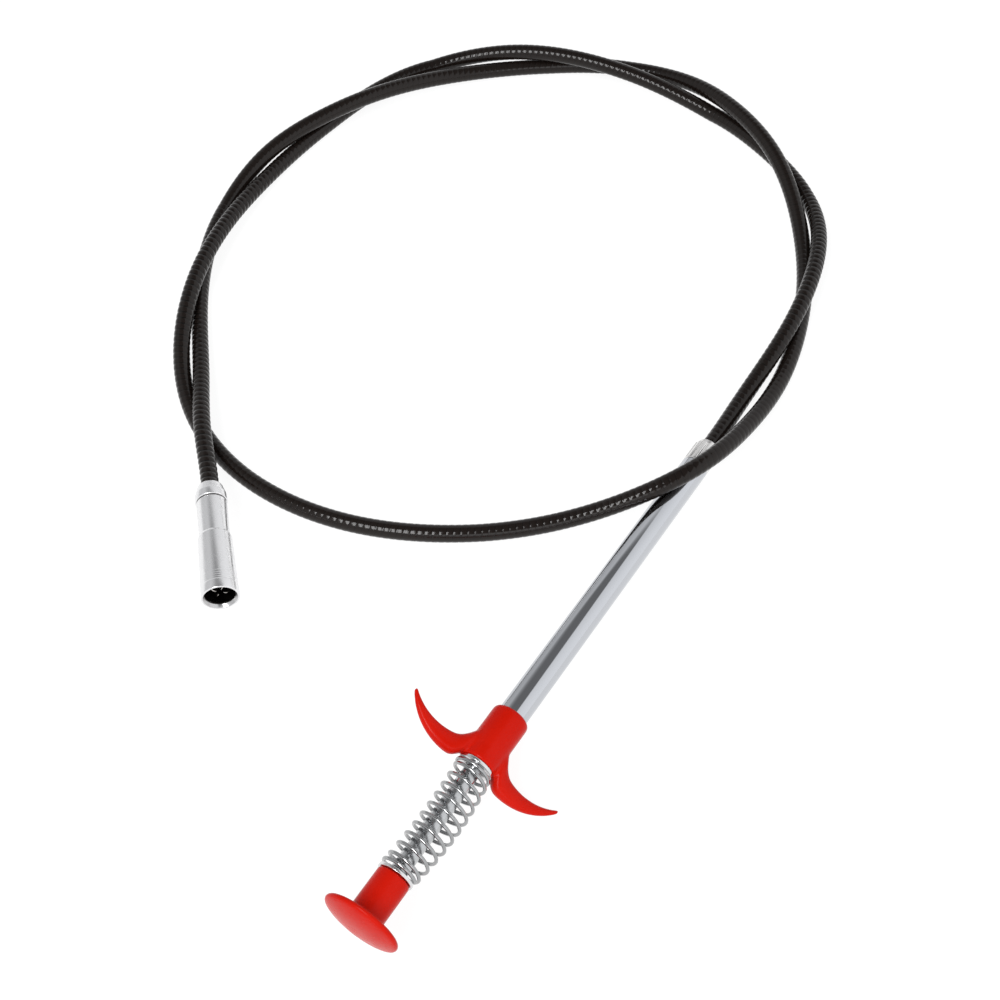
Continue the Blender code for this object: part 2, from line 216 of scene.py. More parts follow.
# Each soft box: name, place, target, size in metres, watts and the direction of its second side.
SOFT_BOXES = (
    ("front", (0.50, -0.62, 0.62), (-0.05, 0.05, 0), (0.4, 0.4), 0.8, (0, 0, 1)),
    ("over_hose", (-0.035, -0.535, 0.86), (-0.10, 0.01, 0), (0.24, 0.7), 7.0, (0.44, -0.73, -0.50)),
)

# Colours of the sheath, with painted shade for its grooves, and of the socket's outer faces, with painted
# shade for its bore.
SHEATH_RIB = (0.0095, 0.0066, 0.0055)
SHEATH_GROOVE_PAINTED_SHADE = (0.0028, 0.0023, 0.0021)
BARE_ALUMINIUM = (0.80, 0.80, 0.81)
ALUMINIUM_PAINTED_SHADE = (0.07, 0.066, 0.06)
NOISE_SPAN = (0.3, 0.7)
TOOL_RING_PITCH = 0.32 * MM

HANDLE = axis_frame("plunger_slide", "handle_tube", (TUBE_START + TUBE_END) / 2)
TIP_CABLE_MIDDLE = 9.65 * MM
SOCKET = axis_frame("claw_slide", "tip_cable", TIP_CABLE_MIDDLE)


# ---------------------------------------------------------------- materials

def new_material(name, colour, metallic, roughness):
    """A material and its Principled shader, with constants set on the shader's own sockets."""
    made = bpy.data.materials.new(name)
    made.use_nodes = True
    shader = made.node_tree.nodes["Principled BSDF"]
    shader.inputs["Base Color"].default_value = (*colour, 1)
    shader.inputs["Metallic"].default_value = metallic
    shader.inputs["Roughness"].default_value = roughness
    return made, shader


def add_node(material, kind, **values):
    made = material.node_tree.nodes.new(kind)
    for key, value in values.items():
        setattr(made, key, value)
    return made


def join(material, source, socket, target, into):
    material.node_tree.links.new(source.outputs[socket], target.inputs[into])


def noise(material, scale, detail, stretch=(1, 1, 1)):
    """Noise in the object's own metres, stretched along its axes."""
    place = add_node(material, "ShaderNodeTexCoord")
    mapping = add_node(material, "ShaderNodeMapping")
    mapping.inputs["Scale"].default_value = stretch
    made = add_node(material, "ShaderNodeTexNoise")
    made.inputs["Scale"].default_value = scale
    made.inputs["Detail"].default_value = detail
    join(material, place, "Object", mapping, "Vector")
    join(material, mapping, "Vector", made, "Vector")
    return made


def ranged(material, source, low, high):
    """Spreads a noise over the values from low to high."""
    made = add_node(material, "ShaderNodeMapRange")
    made.inputs["From Min"].default_value = NOISE_SPAN[0]
    made.inputs["From Max"].default_value = NOISE_SPAN[1]
    made.inputs["To Min"].default_value = low
    made.inputs["To Max"].default_value = high
    join(material, source, "Fac", made, "Value")
    return made


def mixed_colour(material, shader, source, first, second):
    """Varies the base colour between two colours."""
    ramp = add_node(material, "ShaderNodeValToRGB")
    for stop, position, colour in zip(ramp.color_ramp.elements, NOISE_SPAN, (first, second)):
        stop.position = position
        stop.color = (*colour, 1)
    join(material, source, "Fac", ramp, "Fac")
    join(material, ramp, "Color", shader, "Base Color")


def bump(material, shader, source, strength, distance, socket="Fac"):
    made = add_node(material, "ShaderNodeBump")
    made.inputs["Strength"].default_value = strength
    made.inputs["Distance"].default_value = distance
    join(material, source, socket, made, "Height")
    join(material, made, "Normal", shader, "Normal")


def moulded_red():
    """Glossy injection-moulded plastic: a faint ripple, and tiny changes of colour and polish."""
    made, shader = new_material("moulded_red", (0.50, 0.007, 0.002), 0, 0.27)
    shader.inputs["Specular IOR Level"].default_value = 0.07
    tone = noise(made, 90, 4)
    mixed_colour(made, shader, tone, (0.46, 0.006, 0.001), (0.5, 0.009, 0.003))
    join(made, ranged(made, noise(made, 260, 5), 0.2, 0.3), "Result", shader, "Roughness")
    bump(made, shader, noise(made, 140, 2), 0.05, 0.0004)
    return made


def sheath_black():
    """Semi-gloss PVC sheath, with painted shade that darkens its colour in the grooves between its ribs."""
    made, shader = new_material("sheath_black", SHEATH_RIB, 0, 0.2)
    shader.inputs["Specular IOR Level"].default_value = 0.24
    groove = add_node(made, "ShaderNodeAttribute", attribute_name="groove")
    # Painted shade: the groove attribute darkens the base colour in the grooves.
    mixed_colour(made, shader, groove, SHEATH_RIB, SHEATH_GROOVE_PAINTED_SHADE)
    join(made, ranged(made, noise(made, 320, 5), 0.1, 0.17), "Result", shader, "Roughness")
    bump(made, shader, noise(made, 900, 3), 0.1, 0.0002)
    return made


def plated_steel(name, colour, roughness, stretch=(1, 0.04, 1)):
    """Bright plating over drawn steel, with a faint grain along the handle."""
    made, shader = new_material(name, colour, 1, roughness)
    fine = noise(made, 1800, 4, stretch)
    mixed_colour(made, shader, noise(made, 60, 3, stretch), tuple(c * 0.93 for c in colour), colour)
    join(made, ranged(made, fine, roughness * 0.75, roughness * 1.35), "Result", shader, "Roughness")
    bump(made, shader, fine, 0.04, 0.0001)
    return made


def turned_aluminium():
    """Turned bar with fine tool rings round the socket's axis, its colour darkened by painted shade in the
    bore, the crease and on the lip.
    """
    made, shader = new_material("turned_aluminium", BARE_ALUMINIUM, 1, 0.24)
    rings = add_node(made, "ShaderNodeAttribute", attribute_name="station")
    wave = add_node(made, "ShaderNodeMath", operation="SINE")
    scaled = add_node(made, "ShaderNodeMath", operation="MULTIPLY")
    scaled.inputs[1].default_value = math.tau / TOOL_RING_PITCH
    join(made, rings, "Fac", scaled, 0)
    join(made, scaled, "Value", wave, 0)
    # Painted shade: an attribute darkens the colour in the bore, the crease and on the lip.
    painted_shade = add_node(made, "ShaderNodeAttribute", attribute_name="painted_shade")
    mixed_colour(made, shader, painted_shade, BARE_ALUMINIUM, ALUMINIUM_PAINTED_SHADE)
    join(made, ranged(made, noise(made, 240, 4), 0.2, 0.32), "Result", shader, "Roughness")
    bump(made, shader, wave, 0.06, 0.00004, "Value")
    return made


def plain_brass():
    made, shader = new_material("plain_brass", (0.60, 0.43, 0.20), 1, 0.34)
    mixed_colour(made, shader, noise(made, 300, 4), (0.45, 0.31, 0.14), (0.66, 0.49, 0.24))
    bump(made, shader, noise(made, 900, 3), 0.1, 0.0001)
    return made


def stranded_steel():
    """Fine strands wound round a cable."""
    made, shader = new_material("stranded_steel", (0.45, 0.46, 0.48), 1, 0.38)
    strands = noise(made, 1400, 2, (1, 0.35, 1))
    mixed_colour(made, shader, strands, (0.2, 0.2, 0.21), (0.55, 0.56, 0.58))
    bump(made, shader, strands, 0.5, 0.0002)
    return made


def natural_nylon():
    made, shader = new_material("natural_nylon", (0.70, 0.69, 0.64), 0, 0.5)
    shader.inputs["Subsurface Weight"].default_value = 0.1
    shader.inputs["Subsurface Scale"].default_value = 0.001
    mixed_colour(made, shader, noise(made, 200, 3), (0.66, 0.65, 0.60), (0.74, 0.73, 0.69))
    return made


RED = moulded_red()
BLACK = sheath_black()
TUBE_STEEL = plated_steel("tube_steel", (0.54, 0.555, 0.585), 0.07)
ZINC = plated_steel("zinc_steel", (0.72, 0.72, 0.725), 0.2)
WIRE_STEEL = plated_steel("wire_steel", (0.37, 0.375, 0.38), 0.1, stretch=(1, 1, 1))
ROD_STEEL = plated_steel("rod_steel", (0.52, 0.53, 0.54), 0.2)
FERRULE_STEEL = plated_steel("ferrule_steel", (0.80, 0.79, 0.78), 0.18)
CLAW_STEEL = plated_steel("claw_steel", (0.52, 0.50, 0.47), 0.2, stretch=(1, 1, 1))
ALUMINIUM = turned_aluminium()
BRASS = plain_brass()
STRANDS = stranded_steel()
NYLON = natural_nylon()

KEPT_NODES = {
    "stop_ring": ZINC, "rod_guide": NYLON, "cable_crimp": BRASS, "control_cable": STRANDS,
    "tip_cable": STRANDS,
}


# ---------------------------------------------------------------- making pieces

def add_piece(name, data, place, body, node, material):
    """Links a mesh or curve, rides it on its CAD body and lets it stand for its CAD node."""
    made = bpy.data.objects.new(name, data)
    bpy.context.scene.collection.objects.link(made)
    made.matrix_world = place
    data.materials.clear()
    data.materials.append(material)
    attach(made, body)
    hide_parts(node)
    return made


def mesh_from(mesh, angle=40):
    """A smooth-shaded mesh with outward faces from a bmesh."""
    bmesh.ops.recalc_face_normals(mesh, faces=mesh.faces)
    data = bpy.data.meshes.new("piece")
    mesh.to_mesh(data)
    mesh.free()
    data.shade_smooth()
    data.set_sharp_from_angle(angle=math.radians(angle))
    return data


def rounded(outline, closed, radius):
    """The outline of (radius, station) points with each corner off the axis rounded by a short curve."""
    count = len(outline)
    points = [np.array(point, float) for point in outline]
    made = []
    for i, corner in enumerate(points):
        if not closed and i in (0, count - 1):
            made.append(corner)
            continue
        before, after = points[i - 1] - corner, points[(i + 1) % count] - corner
        reach = min(radius, 0.45 * np.linalg.norm(before), 0.45 * np.linalg.norm(after))
        near = corner + before / np.linalg.norm(before) * reach
        far = corner + after / np.linalg.norm(after) * reach
        for step in range(ROUNDING_STEPS + 1):
            t = step / ROUNDING_STEPS
            made.append((1 - t) ** 2 * near + 2 * t * (1 - t) * corner + t**2 * far)
    return made


def turned(outline, segments, radius, ripple=None):
    """Spins an outline about Y into a mesh. Each point's station is kept in an attribute."""
    closed = outline[0][0] > 0
    profile = rounded(outline, closed, radius)
    mesh = bmesh.new()
    station = mesh.verts.layers.float.new("station")
    rings = []
    for out, along in profile:
        if out < 1e-7:
            vert = mesh.verts.new((0, along, 0))
            vert[station] = along
            rings.append([vert])
            continue
        ring = []
        for step in range(segments):
            angle = math.tau * step / segments
            r = out if ripple is None else out + ripple(angle, out, along)
            vert = mesh.verts.new((r * math.cos(angle), along, r * math.sin(angle)))
            vert[station] = along
            ring.append(vert)
        rings.append(ring)
    pairs = list(zip(rings, rings[1:] + rings[:1])) if closed else list(zip(rings, rings[1:]))
    for near, far in pairs:
        for i in range(segments):
            j = (i + 1) % segments
            corners = [near[i % len(near)], near[j % len(near)], far[j % len(far)], far[i % len(far)]]
            mesh.faces.new(list(dict.fromkeys(corners)))
    return mesh


def swept(points, radius, sides):
    """A round wire along the points, as a mesh. The radius is a number or a function of the share."""
    mesh = bmesh.new()
    rings = []
    for i, (centre, across, up) in enumerate(carried_frames(points)):
        r = radius(i / (len(points) - 1)) if callable(radius) else radius
        ring = []
        for step in range(sides):
            angle = math.tau * step / sides
            spot = centre + (across * math.cos(angle) + up * math.sin(angle)) * r
            ring.append(mesh.verts.new(spot))
        rings.append(ring)
    for near, far in zip(rings, rings[1:]):
        for i in range(sides):
            j = (i + 1) % sides
            mesh.faces.new((near[i], near[j], far[j], far[i]))
    mesh.faces.new(rings[0])
    mesh.faces.new(rings[-1])
    return mesh


def carried_frames(points):
    """(point, across, up) at each point of a line, with no twist between one and the next."""
    line = np.array(points, float)
    along = np.gradient(line, axis=0)
    along /= np.linalg.norm(along, axis=1)[:, None]
    across = np.cross(along[0], (0.0, 0.0, 1.0))
    if np.linalg.norm(across) < 1e-3:
        across = np.cross(along[0], (1.0, 0.0, 0.0))
    made = []
    for spot, ahead in zip(line, along):
        across = across - ahead * (across @ ahead)
        across /= np.linalg.norm(across)
        made.append((spot, across, np.cross(ahead, across)))
    return made


# ---------------------------------------------------------------- the hose

def natural_spline(points, stations):
    """Evenly spaced points of the natural cubic spline through the given ones, by chord length."""
    knots = np.concatenate([[0], np.cumsum(np.linalg.norm(np.diff(points, axis=0), axis=1))])
    width = np.diff(knots)
    count = len(points)
    system, right = np.eye(count), np.zeros((count, 3))
    for i in range(1, count - 1):
        system[i, i - 1 : i + 2] = width[i - 1], 2 * (width[i - 1] + width[i]), width[i]
        right[i] = 6 * ((points[i + 1] - points[i]) / width[i] - (points[i] - points[i - 1]) / width[i - 1])
    bend = np.linalg.solve(system, right)
    made = []
    for at in np.linspace(0, knots[-1], stations):
        i = min(np.searchsorted(knots, at, side="right") - 1, count - 2)
        a, b, w = knots[i + 1] - at, at - knots[i], width[i]
        made.append(bend[i] * a**3 / (6 * w) + bend[i + 1] * b**3 / (6 * w)
                    + (points[i] / w - bend[i] * w / 6) * a + (points[i + 1] / w - bend[i + 1] * w / 6) * b)
    return np.array(made)


def hose_line(stations):
    start = HANDLE @ Vector((0, FERRULE_END - HOSE_SEAT + GAP, 0))
    handle_axis = (HANDLE.to_3x3() @ Vector((0, 1, 0))).normalized()
    socket_axis = (SOCKET.to_3x3() @ Vector((0, 1, 0))).normalized()
    route = [start, start + handle_axis * HOSE_LEAD] + [Vector(point) for point in HOSE_ROUTE]
    route += [HOSE_END - socket_axis * HOSE_LEAD, HOSE_END]
    line = natural_spline(np.array(route), stations)
    line[:, 2] = np.maximum(line[:, 2], HOSE_REST_Z)
    return line


def line_length(line):
    return float(np.linalg.norm(np.diff(line, axis=0), axis=1).sum())


def make_hose():
    """The sheathed casing: a tube whose ribs follow the wound casing's helix under the sheath."""
    length = line_length(hose_line(2000))
    line = hose_line(round(length / RIB_PITCH * RIB_STEPS) + 1)
    frames = carried_frames(line)
    angles = np.linspace(0, math.tau, HOSE_SIDES, endpoint=False)
    along = np.concatenate([[0], np.cumsum(np.linalg.norm(np.diff(line, axis=0), axis=1))])
    phase = (along[:, None] / RIB_PITCH + angles[None, :] / math.tau + 0.5) % 1 - 0.5
    groove = np.exp(-((phase / GROOVE_SHARE) ** 2))
    strong = sum(np.exp(-(((along - spot) / half) ** 2)) for spot, half in RIB_STRONG)[:, None]
    wander = 0.1 * np.sin(along / 0.037 + 2 * np.sin(along / 0.11))[:, None]
    strong = np.clip(strong + wander, 0, 1)
    depth = GROOVE_DEPTH[0] + (GROOVE_DEPTH[1] - GROOVE_DEPTH[0]) * strong
    crown = RIB_CROWN[0] + (RIB_CROWN[1] - RIB_CROWN[0]) * strong
    radius = HOSE_R - depth * groove - crown * (1 - 2 * np.abs(phase)) ** 2
    centre, across, up = (np.array(part)[:, None] for part in zip(*frames))
    outward = across * np.cos(angles)[None, :, None] + up * np.sin(angles)[None, :, None]
    spots = centre + radius[:, :, None] * outward
    rows = len(line)
    ring, side = np.meshgrid(np.arange(rows - 1), np.arange(HOSE_SIDES), indexing="ij")
    ahead = (side + 1) % HOSE_SIDES
    corners = [ring * HOSE_SIDES + side, ring * HOSE_SIDES + ahead,
               (ring + 1) * HOSE_SIDES + ahead, (ring + 1) * HOSE_SIDES + side]
    faces = np.stack(corners, axis=-1).reshape(-1, 4).tolist()
    faces += [list(range(HOSE_SIDES))[::-1], [(rows - 1) * HOSE_SIDES + i for i in range(HOSE_SIDES)]]
    data = bpy.data.meshes.new("hose_sheath")
    data.from_pydata(spots.reshape(-1, 3).tolist(), [], faces)
    # Painted shade in the grooves, stronger where the ribs stand out more.
    shade = groove * (0.55 + 0.45 * strong)
    data.attributes.new("groove", "FLOAT", "POINT").data.foreach_set("value", shade.reshape(-1))
    mesh = bmesh.new()
    mesh.from_mesh(data)
    bmesh.ops.recalc_face_normals(mesh, faces=mesh.faces)
    mesh.to_mesh(data)
    mesh.free()
    data.shade_smooth()
    made = add_piece("hose_sheath", data, Matrix.Identity(4), "root", "hose", BLACK)
    return made, line, length


# ---------------------------------------------------------------- the handle

def place_turned(name, outline, place, body, node, material, segments, radius=EDGE_R, ripple=None):
    """A turned piece in its place: see turned and add_piece."""
    data = mesh_from(turned(outline, segments, radius, ripple), 50)
    return add_piece(name, data, place, body, node, material)


def make_button():
    """The domed cap on its neck, with the bore that the rod is moulded into."""
    steps = 14
    outline = [(0, 0)]
    for step in range(1, steps + 1):
        out = CAP_CROWN_R * step / steps
        outline.append((out, (CAP_DOME - 0.5 * MM) * (out / CAP_CROWN_R) ** 2.4))
    outline += [
        (CAP_R - 0.35 * MM, CAP_DOME - 0.1 * MM), (CAP_R, CAP_DOME + 0.6 * MM),
        (CAP_R - 0.35 * MM, CAP_BACK - 0.3 * MM), (CAP_R - 1.4 * MM, CAP_BACK),
        (CAP_STEP_R, CAP_BACK + 0.15 * MM), (CAP_STEP_R - 1.2 * MM, NECK_START),
        (NECK_R, NECK_START + 0.9 * MM), (NECK_R, NECK_END - 0.5 * MM), (NECK_R - 0.5 * MM, NECK_END),
        (ROD_R + GAP, NECK_END), (ROD_R + GAP, BUTTON_BORE_START), (0, BUTTON_BORE_START),
    ]
    place_turned("thumb_button_moulding", outline, HANDLE, "plunger", "thumb_button", RED, 128,
                 0.5 * MM)


def make_washers():
    for (node, (start, end)), body in zip(WASHER_SPANS.items(), ("plunger", "root")):
        inner = ROD_R + GAP
        outline = [(inner, start), (WASHER_R, start), (WASHER_R, end), (inner, end)]
        place_turned(node + "_plate", outline, HANDLE, body, node, ZINC, 64, 0.2 * MM)


def make_rod():
    """The plunger rod, with the groove that its stop ring sits in."""
    start = BUTTON_BORE_START + GAP
    groove_start, groove_end = STOP_GROOVE
    outline = [(0, start), (ROD_R, start), (ROD_R, groove_start - 0.1 * MM), (STOP_GROOVE_R, groove_start),
               (STOP_GROOVE_R, groove_end), (ROD_R, groove_end + 0.1 * MM), (ROD_R, ROD_END - 0.5 * MM),
               (ROD_R - 0.5 * MM, ROD_END), (0, ROD_END)]
    place_turned("plunger_rod_bar", outline, HANDLE, "plunger", "plunger_rod", ROD_STEEL, 48)


def make_spring():
    """The return spring's wire, bowed a little sideways as a free coil is."""
    start, end = SPRING_START, SPRING_END
    closed = SPRING_CLOSED_TURNS * SPRING_CLOSED_PITCH
    turns = SPRING_OPEN_TURNS + 2 * SPRING_CLOSED_TURNS
    steps = round(turns * SPRING_STEPS)
    points = []
    for step in range(steps + 1):
        turn = turns * step / steps
        share = min(max((turn - SPRING_CLOSED_TURNS) / SPRING_OPEN_TURNS, 0), 1)
        ends = min(turn, SPRING_CLOSED_TURNS) + max(turn - SPRING_CLOSED_TURNS - SPRING_OPEN_TURNS, 0)
        station = start + SPRING_CLOSED_PITCH * ends + share * (end - start - 2 * closed)
        middle_share = math.sin(math.pi * step / steps)
        angle = math.tau * turn
        out = SPRING_MEAN_R + SPRING_SWELL * middle_share
        points.append((out * math.cos(angle) + SPRING_BOW * middle_share, station, out * math.sin(angle)))
    data = mesh_from(swept(points, SPRING_WIRE_R, 12))
    made = add_piece("return_spring_wire", data, HANDLE, "root", "return_spring", WIRE_STEEL)
    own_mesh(made)


def arc_height(arc, out):
    centre_out, centre_along, radius = arc
    return centre_along - math.sqrt(radius**2 - (out - centre_out) ** 2)


def horn_ring(side, out):
    """One cross-section of a finger horn: a rounded rectangle between the horn's two arcs."""
    share = (out - HORN_ROOT) / (HORN_TIP - HORN_ROOT)
    low = arc_height(HORN_OUTER_ARC, out)
    if out < HORN_RELIEF_REACH:
        low = min(GRIP_START, low + HORN_RELIEF_GAIN * (HORN_RELIEF_REACH - out) ** 2)
    high = arc_height(HORN_INNER_ARC, out)
    high += HORN_FILLET_GAIN * max(0, HORN_FILLET_REACH - out) ** 2
    thick = HORN_ROOT_HALF_THICK + (HORN_TIP_HALF_THICK - HORN_ROOT_HALF_THICK) * share
    thick += HORN_FLARE_GAIN * max(0, HORN_FILLET_REACH - out) ** 2
    if out < BARREL_R:
        thick = min(thick, max(HORN_ROOT_HALF_THICK, math.sqrt((BARREL_R - 0.1 * MM) ** 2 - out**2)))
    ring = []
    for step in range(HORN_SIDES):
        angle = math.tau * step / HORN_SIDES
        along, up = math.cos(angle), math.sin(angle)
        along = math.copysign(abs(along) ** (2 / HORN_SQUARENESS), along)
        up = math.copysign(abs(up) ** (2 / HORN_SQUARENESS), up)
        ring.append((side * out, (low + high) / 2 + along * (high - low) / 2, up * thick))
    return ring


def helper(name, mesh):
    made = bpy.data.objects.new(name, mesh_from(mesh))
    bpy.context.scene.collection.objects.link(made)
    return made


def horn_helper(side):
    """One horn on its own: rings from the barrel out to a rounded tip."""
    mesh = bmesh.new()
    tip_share = 0.985
    rings = []
    for i in range(HORN_STEPS + 1):
        out = HORN_ROOT + (HORN_TIP - HORN_ROOT) * math.sin(math.pi / 2 * i / HORN_STEPS) * tip_share
        rings.append([mesh.verts.new(spot) for spot in horn_ring(side, out)])
    last = rings[-1]
    centre = sum((v.co for v in last), Vector()) / HORN_SIDES
    for shrink, ahead in ((0.8, 0.25 * MM), (0.45, 0.42 * MM)):
        shift = Vector((side * ahead, 0, 0))
        rings.append([mesh.verts.new(centre + (v.co - centre) * shrink + shift) for v in last])
    for near, far in zip(rings, rings[1:]):
        for i in range(HORN_SIDES):
            j = (i + 1) % HORN_SIDES
            mesh.faces.new((near[i], near[j], far[j], far[i]))
    mesh.faces.new(rings[0])
    mesh.faces.new(rings[-1])
    made = helper("horn_helper", mesh)
    made.data.transform(Matrix.Rotation(HORN_ROLL, 4, "Y"))
    return made


def apply_modifiers(obj):
    graph = bpy.context.evaluated_depsgraph_get()
    data = bpy.data.meshes.new_from_object(obj.evaluated_get(graph))
    obj.modifiers.clear()
    obj.data = data


def combine(target, other, operation):
    modifier = target.modifiers.new(operation, "BOOLEAN")
    modifier.operation = operation
    modifier.solver = "EXACT"
    modifier.object = other
    apply_modifiers(target)
    bpy.data.objects.remove(other)


def make_grip():
    """The barrel and its horns as one moulding, with soft fillets where they meet, then bored."""
    start, end = GRIP_START, GRIP_END
    barrel = helper("grip_helper", turned([
        (0, start), (BARREL_R - 0.5 * MM, start), (BARREL_R, start + 0.5 * MM), (BARREL_R, end - 0.9 * MM),
        (BARREL_R - 0.8 * MM, end), (0, end)], 96, 0.3 * MM))
    for side in (-1, 1):
        combine(barrel, horn_helper(side), "UNION")
    remesh = barrel.modifiers.new("remesh", "REMESH")
    remesh.mode = "VOXEL"
    remesh.voxel_size = GRIP_VOXEL
    smooth = barrel.modifiers.new("smooth", "CORRECTIVE_SMOOTH")
    smooth.factor = 0.5
    smooth.iterations = GRIP_SMOOTHING
    smooth.use_only_smooth = True
    apply_modifiers(barrel)
    bore, hole, web_end = TUBE_R + GAP, ROD_R + 0.5 * MM, start + GRIP_WEB
    cutter = helper("bore_helper", turned([
        (0, end + 2 * MM), (bore, end + 2 * MM), (bore, web_end), (hole, web_end), (hole, start - 4 * MM),
        (0, start - 4 * MM)], 96, 0.02 * MM))
    combine(barrel, cutter, "DIFFERENCE")
    data = barrel.data.copy()
    bpy.data.objects.remove(barrel)
    data.shade_smooth()
    data.set_sharp_from_angle(angle=math.radians(45))
    add_piece("finger_grip_moulding", data, HANDLE, "root", "finger_grip", RED)


def make_tube():
    """A plain tube, open at both ends."""
    inner = TUBE_R - TUBE_WALL
    outline = [(inner, TUBE_START), (TUBE_R, TUBE_START), (TUBE_R, TUBE_END), (inner, TUBE_END)]
    place_turned("handle_tube_steel", outline, HANDLE, "root", "handle_tube", TUBE_STEEL, 128,
                 0.25 * MM)


def crimp_ripple(angle, out, along):
    """Fine lines pressed lengthwise into the ferrule's outer skin."""
    if out < TUBE_R - 0.3 * MM or not TUBE_END + 0.8 * MM < along < COLLAR_END:
        return 0.0
    return -CRIMP_DEPTH * (0.5 + 0.5 * math.cos(CRIMP_LINES * angle)) ** 3


def make_ferrule():
    """The crimped shell between tube and hose, pressed flat where it would meet the floor."""
    spigot_r = TUBE_R - TUBE_WALL - GAP
    spigot_start = TUBE_END - FERRULE_SPIGOT
    seat = FERRULE_END - HOSE_SEAT
    outline = [
        (CABLE_BORE_R, spigot_start), (spigot_r, spigot_start), (spigot_r, TUBE_END + GAP),
        (TUBE_R - 0.15 * MM, TUBE_END + GAP), (TUBE_R, TUBE_END + 0.9 * MM), (TUBE_R, COLLAR_END - 0.1 * MM),
        (TUBE_R - 0.25 * MM, COLLAR_END), (FERRULE_MOUTH_R, COLLAR_END - 0.1 * MM),
        (FERRULE_MOUTH_R - 0.2 * MM, COLLAR_END - 0.9 * MM),
        (FERRULE_MOUTH_R - 0.35 * MM, COLLAR_END - 0.9 * MM),
        (FERRULE_MOUTH_R - 0.1 * MM, FERRULE_END), (HOSE_R + GAP, FERRULE_END), (HOSE_R + GAP, seat),
        (CABLE_BORE_R, seat),
    ]
    shell = place_turned("crimp_ferrule_shell", outline, HANDLE, "root", "crimp_ferrule",
                         FERRULE_STEEL, 200, 0.12 * MM, crimp_ripple)
    for vertex in shell.data.vertices:
        spot = HANDLE @ vertex.co
        spot.z = max(spot.z, FLOOR_CLEARANCE)
        vertex.co = HANDLE.inverted() @ spot


# ---------------------------------------------------------------- the tip

def turned_marks(start, end, count):
    """Outline points, from two (radius, station) pairs in millimetres, with a fine ridge at each step."""
    made = []
    for step in range(2 * count + 1):
        share = step / (2 * count)
        out = start[0] + (end[0] - start[0]) * share + (0.05 if step % 2 else 0.0)
        made.append((out * MM, (start[1] + (end[1] - start[1]) * share) * MM))
    return made


def make_socket():
    """The turned socket: chamfer, collar, crease, neck and wider mouth, with painted shade in its bore and
    crease and a weaker painted shade on its lip.
    """
    step_start, step_end = SOCKET_STEP
    crease_start, crease_end = SOCKET_CREASE
    outline = [
        (HOSE_R + GAP, 0), (4.1 * MM, 0), *turned_marks((4.4, 0.4), (5.5, 4.2), 6),
        (SOCKET_COLLAR_R, crease_start - 0.25 * MM), (SOCKET_CREASE_R, crease_start),
        (SOCKET_CREASE_R, crease_end), (SOCKET_NECK_R[0], crease_end + 0.2 * MM),
        (SOCKET_NECK_R[1], step_start), (SOCKET_WIDE_R[0], step_end),
        (SOCKET_WIDE_R[1], SOCKET_LENGTH - 8 * MM), *turned_marks((6.22, 41.0), (6.3, 44.6), 4),
        (SOCKET_MOUTH_R, SOCKET_LENGTH - 3.5 * MM), (SOCKET_MOUTH_R, SOCKET_LENGTH),
        (SOCKET_LIP_R[0], SOCKET_LENGTH), (SOCKET_LIP_R[1], SOCKET_LENGTH - SOCKET_LIP_DEPTH[0]),
        (SOCKET_BORE_R, SOCKET_LENGTH - SOCKET_LIP_DEPTH[1]), (SOCKET_BORE_R, step_end + 1 * MM),
        (SOCKET_NECK_BORE_R, step_end), (SOCKET_NECK_BORE_R, HUB_POCKET_START),
        (CABLE_BORE_R, HUB_POCKET_START), (CABLE_BORE_R, HOSE_SEAT), (HOSE_R + GAP, HOSE_SEAT),
    ]
    made = place_turned("tip_socket_shell", outline, SOCKET, "root", "tip_socket",
                        ALUMINIUM, 128)
    spots = np.array([vertex.co for vertex in made.data.vertices])
    out, station = np.hypot(spots[:, 0], spots[:, 2]), spots[:, 1]
    lip_start = SOCKET_LENGTH - 1.3 * MM
    crease_middle, crease_reach = 7.35 * MM, 0.35 * MM
    # Painted shade: full in the bore and the crease, partial on the lip.
    painted_shade = (out < SOCKET_BORE_R + 0.1 * MM) & (station > HOSE_SEAT) & (station < lip_start)
    painted_shade |= (out < SOCKET_CREASE_R + 0.3 * MM) & (abs(station - crease_middle) < crease_reach)
    lip = (out < SOCKET_LIP_R[0] + 0.1 * MM) & (station > lip_start)
    shade = np.where(painted_shade, 1.0, np.where(lip, SOCKET_LIP_PAINTED_SHADE, 0.0))
    made.data.attributes.new("painted_shade", "FLOAT", "POINT").data.foreach_set("value", shade)
    return made


def make_hub():
    """The sleeve that carries the claws, with both edges chamfered."""
    chamfer = 0.5 * MM
    outline = [(0, HUB_START), (HUB_R - chamfer, HUB_START), (HUB_R, HUB_START + chamfer),
               (HUB_R, HUB_END - chamfer), (HUB_R - chamfer, HUB_END), (0, HUB_END)]
    return place_turned("claw_hub_sleeve", outline, SOCKET, "claw_carrier", "claw_hub", BRASS, 48)


def claw_radius(share):
    """The wire's radius along a claw, ground to a point over its last stretch."""
    ground = 0.12
    return CLAW_WIRE_R * (1 - 0.75 * max(0, share - (1 - ground)) / ground)


